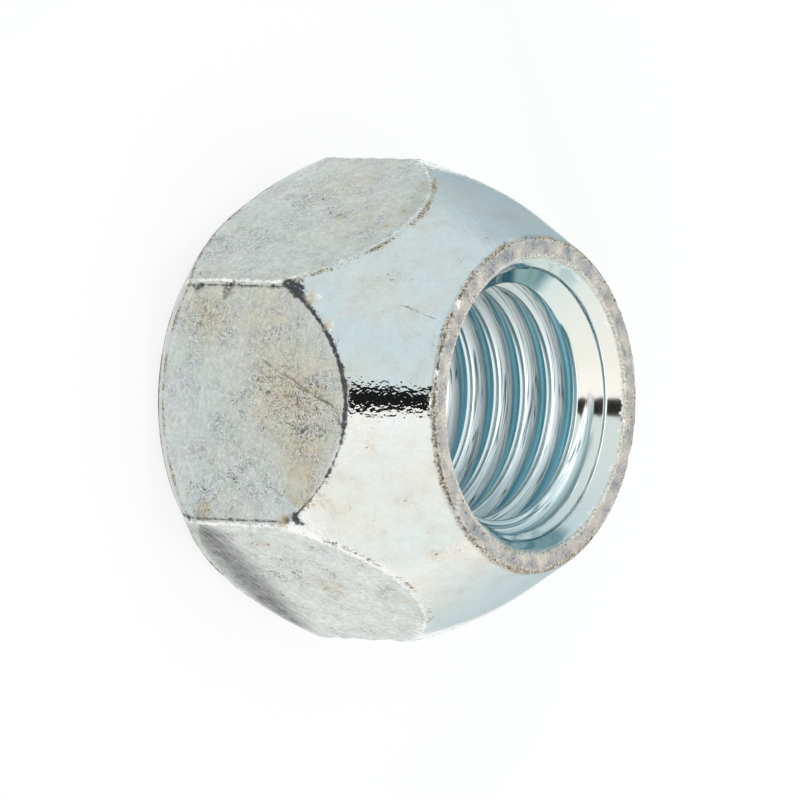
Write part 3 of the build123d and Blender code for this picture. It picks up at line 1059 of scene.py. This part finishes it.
# %% Soft world
world = bpy.data.worlds.new("light_tent")
bpy.context.scene.world = world
world.use_nodes = True
tree = world.node_tree
towards = add("ShaderNodeTexCoord", {})["Generated"]
level = add("ShaderNodeSeparateXYZ", {"Vector": towards})["Y"]
level = add(RANGE, {"Value": level, "From Min": -1.0, "From Max": 1.0})["Result"]
tent = add("ShaderNodeValToRGB", {"Fac": level})["Color"]
ramp = tree.nodes[-1].color_ramp
tent_stops = [
    (0.0, "#D0DEE2"), (0.45, "#D8E3E4"), (0.53, "#FFFEFB"), (0.62, "#FDFCF8"), (0.75, "#F4F5F0"),
    (1.0, "#F0F4F0"),
]
while len(ramp.elements) < len(tent_stops):
    ramp.elements.new(0.5)
for element, (place, code) in zip(ramp.elements, tent_stops):
    element.position = place
    element.color = paint(code)
tree.links.new(tent, tree.nodes["Background"].inputs["Color"])
tree.nodes["Background"].inputs["Strength"].default_value = 1.0
print("tent with", len(ramp.elements), "colours")

# %% [markdown]
# The camera.
# The picture shows the nut from the cone's side with its axis pointing right. The line of sight makes
# about 52 degrees with the axis and lies almost square to one flat. The nut stands on its back face
# here, so the camera is tipped on its side to show it as the picture does.

# %% The camera, from angles that were fitted to the picture
sight_from_axis = math.radians(52.28)
sight_from_flat = math.radians(-2.24)
camera_roll = math.radians(1.97)
camera_distance = 500.5 * MM
camera_lens = 499.4
sensor_width = 36.0
aim_height = 7.25 * MM
axis = Vector((0, 0, 1))
facing_flat = Vector((math.cos(sight_from_flat), math.sin(sight_from_flat), 0))
towards_camera = math.cos(sight_from_axis) * axis + math.sin(sight_from_axis) * facing_flat
level_right = math.sin(sight_from_axis) * axis - math.cos(sight_from_axis) * facing_flat
level_up = towards_camera.cross(level_right)
picture_right = math.cos(camera_roll) * level_right + math.sin(camera_roll) * level_up
picture_up = math.cos(camera_roll) * level_up - math.sin(camera_roll) * level_right
camera_data = bpy.data.cameras.new("camera")
camera_data.lens = camera_lens
camera_data.sensor_width = sensor_width
camera = bpy.data.objects.new("camera", camera_data)
bpy.context.scene.collection.objects.link(camera)
turned = Matrix((picture_right, picture_up, towards_camera)).transposed().to_4x4()
camera.matrix_world = Matrix.Translation(axis * aim_height + towards_camera * camera_distance) @ turned
bpy.context.scene.camera = camera
print("camera at", tuple(round(value, 4) for value in camera.matrix_world.translation))

# %% [markdown]
# The dark gap.
# A photographer leaves a slit in the tent for the lens. The cone and the mouth mirror it as one black
# streak, which tells the eye that they are polished. It is a curved strip of black felt over the camera's
# side of the nut. A dark stripe in the world would do the same, but a strip is easier to aim.


# %% Strips of quads, and the dark gap in the tent behind the camera
def strip(name, pairs):
    """A new object made of quads between neighbouring pairs of points."""
    corners = [tuple(corner) for pair in pairs for corner in pair]
    quads = [(2 * row, 2 * row + 1, 2 * row + 3, 2 * row + 2) for row in range(len(pairs) - 1)]
    mesh = bpy.data.meshes.new(name)
    mesh.from_pydata(corners, [], quads)
    piece = bpy.data.objects.new(name, mesh)
    bpy.context.scene.collection.objects.link(piece)
    return piece


gap_distance = 0.7
gap_half = gap_distance * math.tan(math.radians(6.0))
gap_low = math.radians(13)
gap_high = math.radians(56)
gap_rows = 12
gap_centre = axis * 0.012
aside = axis.cross(facing_flat) * gap_half
gap_pairs = []
for lift in np.linspace(gap_low, gap_high, gap_rows):
    out = facing_flat * math.cos(lift) * gap_distance + axis * math.sin(lift) * gap_distance + gap_centre
    gap_pairs.append((out - aside, out + aside))
tent_gap = strip("tent_gap", gap_pairs)
# Wool felt, dyed black: the eye sees almost nothing, which is its use here.
felt = bpy.data.materials.new("black_felt")
felt.use_nodes = True
felt_shader = felt.node_tree.nodes["Principled BSDF"]
felt_shader.inputs["Base Color"].default_value = paint("#050505")
felt_shader.inputs["Roughness"].default_value = 1.0
tent_gap.data.materials.append(felt)
tent_gap.visible_camera = False
print(f"dark gap {2 * gap_half:.3f} m wide")

# %% [markdown]
# The low panel.
# Upright flats mirror what stands at their own height. A low band of opal acrylic, lit from behind, is
# curved round the back of the nut and is dimmer there, which keeps the turned-away sides from going flat
# white. The colours are written on its points. Several small lamps would leave spots instead.

# %% A low panel round the nut, lit more dimly towards the back
panel_distance = 0.026
panel_height = 0.02
panel_stops = [
    (80, "#FAFAF5"), (96, "#EDF0EC"), (112, "#D6E2E2"), (140, "#C6D3D6"), (165, "#B9C8CC"), (195, "#A9BAC0"),
    (232, "#AEBFC5"), (250, "#BCCBD0"), (264, "#D3DEE0"), (325, "#D8E2E3"),
]
panel_pairs = []
for degrees, code in panel_stops:
    out = Vector((math.cos(math.radians(degrees)), math.sin(math.radians(degrees)), 0)) * panel_distance
    panel_pairs.append((out, out + axis * panel_height))
panel = strip("low_panel", panel_pairs)
panel_colours = [channel for degrees, code in panel_stops for channel in paint(code) * 2]
panel.data.attributes.new("glow", "FLOAT_COLOR", "POINT").data.foreach_set("color", panel_colours)
# Cast opal acrylic, lit from behind: the eye sees a soft glow with no lamp in it.
opal = bpy.data.materials.new("opal_acrylic_lit")
opal.use_nodes = True
tree = opal.node_tree
tree.nodes.remove(tree.nodes["Principled BSDF"])
glow_colour = add("ShaderNodeAttribute", {}, attribute_name="glow")["Color"]
glow = add("ShaderNodeEmission", {"Color": glow_colour, "Strength": 1.0})["Emission"]
tree.links.new(glow, tree.nodes["Material Output"].inputs["Surface"])
panel.data.materials.append(opal)
panel.visible_camera = False
panel.visible_shadow = False
print("panel from", panel_stops[0][0], "to", panel_stops[-1][0], "degrees round the nut")

# %% [markdown]
# The lamp.
# One wide, weak disc overhead lifts the ring and the mouth and gives the nut its soft shadow on the paper.
# A sun lamp would be simpler, but its shadow is hard.

# %% Soft lamp over the nut
lamp_radius = 0.24
lamp_brightness = 1.6
lamp_place = (0.05, 0, 0.45)
lamp = bpy.data.lights.new("overhead_softbox", "AREA")
lamp.shape = "DISK"
lamp.size = 2 * lamp_radius
lamp.energy = lamp_brightness * math.pi * math.pi * lamp_radius ** 2
overhead = bpy.data.objects.new("overhead_softbox", lamp)
overhead.location = lamp_place
bpy.context.scene.collection.objects.link(overhead)
print(f"overhead lamp of {lamp.energy:.2f} W")

# %% [markdown]
# The hand-over.
# The plated nut stands for the plain CAD nut: it rides on the root body, and the CAD nut is hidden.

# %% Hand the nut over to the frame
bpy.context.scene.view_settings.view_transform = "Standard"
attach(lug_nut, "root")
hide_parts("lug_nut")
